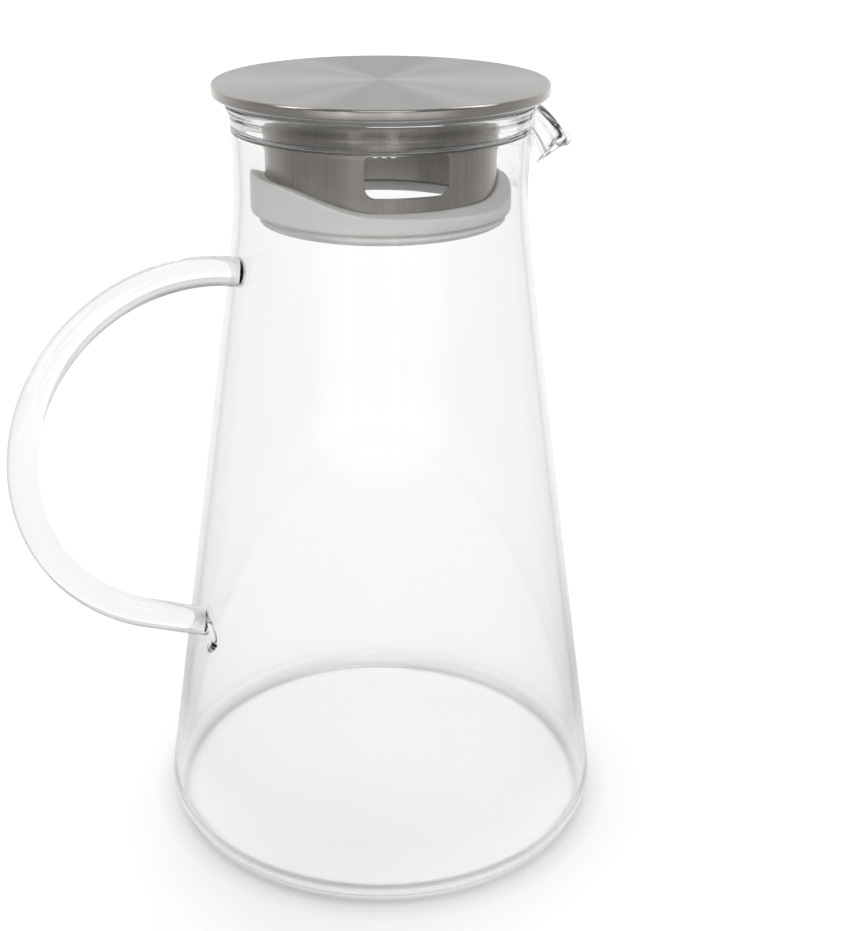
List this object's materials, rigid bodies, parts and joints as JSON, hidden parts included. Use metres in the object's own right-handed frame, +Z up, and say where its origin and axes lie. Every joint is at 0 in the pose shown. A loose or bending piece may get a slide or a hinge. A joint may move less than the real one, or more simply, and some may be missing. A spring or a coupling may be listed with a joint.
{
  "type": "glass pitcher with lid",
  "caption": "Blown glass pitcher, conical with a drawn spout and a glass rod handle, closed by a steel lid with a pour collar and silicone seal.",
  "frame": {"origin": "pitcher's own axis at the level of the face that it stands on", "axes": "+Z up along the pitcher's axis, +X towards the spout, -X towards the handle"},
  "size_m": [0.1939, 0.1466, 0.2431],
  "materials": {
    "glass": "clear blown borosilicate",
    "steel": "circular brushed",
    "silicone": "translucent grey white"
  },
  "bodies": {
    "pitcher": {"glass_vessel": "glass", "handle": "glass"},
    "seal": {"seal_ring": "silicone"},
    "lid": {"lid_cap": "steel", "lid_base": "steel", "pour_collar": "steel"}
  },
  "joints": [
    {"name": "lid_lift", "type": "slide", "parent": "pitcher", "child": "seal", "axis": [0, 0, 1], "range_m": [0, 0.06]},
    {"name": "lid_turn", "type": "hinge", "parent": "seal", "child": "lid", "pos_m": [0, 0, 0.22], "axis": [0, 0, 1], "continuous": true}
  ]
}
